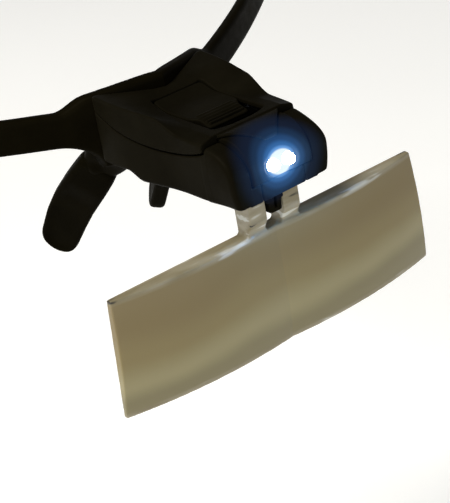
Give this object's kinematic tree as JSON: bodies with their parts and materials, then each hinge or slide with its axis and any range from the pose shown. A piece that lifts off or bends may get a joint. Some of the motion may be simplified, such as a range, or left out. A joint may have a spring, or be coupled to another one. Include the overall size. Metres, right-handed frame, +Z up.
{
  "type": "head visor magnifier",
  "caption": "Spectacle-type head magnifier: lamp console on a brow frame with a nose saddle, a pull-off twin lens plate and folding temples.",
  "frame": {"origin": "the point under the nose saddle's arch, on the centre plane, that rests on the nose", "axes": "+X to the wearer's left, -Y forward, +Z up"},
  "size_m": [0.1504, 0.2093, 0.0582],
  "materials": {
    "frame_plastic": "fine satin moulded",
    "shell_plastic": "satin moulded",
    "knob_plastic": "satin",
    "pad_rubber": "soft matt",
    "lens_acrylic": "clear polished acrylic",
    "lamp_clear": "clear epoxy, lit",
    "cell_steel": "satin",
    "contact_steel": "plated",
    "screw_steel": "plain",
    "lead_red": "insulation",
    "lead_black": "insulation",
    "switch_grey": "moulded",
    "board_green": "solder mask"
  },
  "bodies": {
    "frame": {"brow_frame": "frame_plastic", "nose_pad_right": "pad_rubber", "nose_pad_left": "pad_rubber", "lower_shell": "shell_plastic", "upper_shell": "shell_plastic", "lens_socket": "shell_plastic", "battery_cell_right": "cell_steel", "battery_cell_middle": "cell_steel", "battery_cell_left": "cell_steel", "contact_positive": "contact_steel", "contact_negative": "contact_steel", "lead_positive": "lead_red", "lead_negative": "lead_black", "switch_body": "switch_grey", "pod_pins": "screw_steel", "hinge_screw_right": "screw_steel", "hinge_screw_left": "screw_steel", "shell_screws": "screw_steel", "frame_screws": "screw_steel"},
    "cover": {"battery_cover": "shell_plastic"},
    "switch": {"switch_slider": "knob_plastic"},
    "pod": {"lamp_pod": "shell_plastic", "lamp_right": "lamp_clear", "lamp_left": "lamp_clear", "lamp_board": "board_green"},
    "lens": {"lens_plate": "lens_acrylic"},
    "right_temple": {"temple_right": "frame_plastic", "temple_tip_right": "pad_rubber"},
    "left_temple": {"temple_left": "frame_plastic", "temple_tip_left": "pad_rubber"}
  },
  "joints": [
    {"name": "pod_tilt", "type": "hinge", "parent": "frame", "child": "pod", "pos_m": [0, -0.0538, 0.018], "axis": [-1, 0, 0], "range_deg": [0, 20]},
    {"name": "lens_pull", "type": "slide", "parent": "frame", "child": "lens", "axis": [0, 0, -1], "range_m": [0, 0.006]},
    {"name": "cover_slide", "type": "slide", "parent": "frame", "child": "cover", "axis": [0, -1, 0], "range_m": [0, 0.002]},
    {"name": "switch_slide", "type": "slide", "parent": "frame", "child": "switch", "axis": [0, 1, 0], "range_m": [0, 0.003]},
    {"name": "right_temple_fold", "type": "hinge", "parent": "frame", "child": "right_temple", "pos_m": [-0.072, 0.0335, 0.027], "axis": [0, 0, -1], "range_deg": [0, 90]},
    {"name": "left_temple_fold", "type": "hinge", "parent": "frame", "child": "left_temple", "pos_m": [0.072, 0.0335, 0.027], "axis": [0, 0, 1], "range_deg": [0, 80]}
  ]
}
